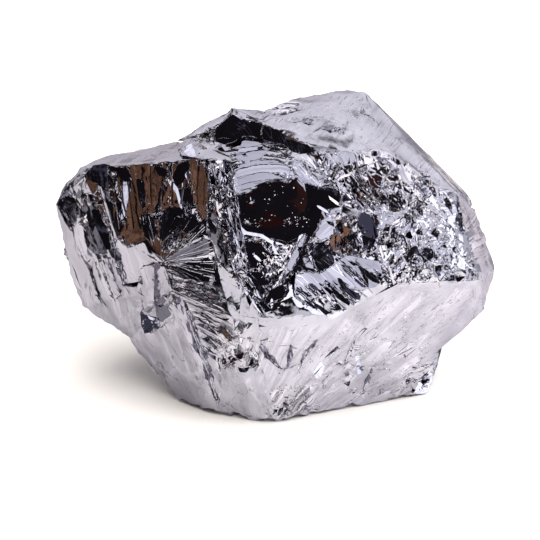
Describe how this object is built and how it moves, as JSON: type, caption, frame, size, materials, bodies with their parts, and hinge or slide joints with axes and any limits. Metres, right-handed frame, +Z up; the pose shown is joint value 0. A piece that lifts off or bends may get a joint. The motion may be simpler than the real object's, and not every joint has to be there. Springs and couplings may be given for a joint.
{
  "type": "terahertz stone",
  "caption": "Raw lump of bright silver-grey silicon stone, broken all over into smooth planes, scoops, columns and shattered facets, resting on a flat foot.",
  "frame": {"origin": "centre of the bounding box's base, on the plane that the stone rests on", "axes": "+X along the longest side, +Z up, -Y towards the front with the bowl and the columnar wall"},
  "size_m": [0.075, 0.0496, 0.0468],
  "materials": {
    "silicon": "mirror-bright metallic lustre, freshly broken"
  },
  "bodies": {
    "root": {"terahertz_stone": "silicon"}
  },
  "joints": []
}
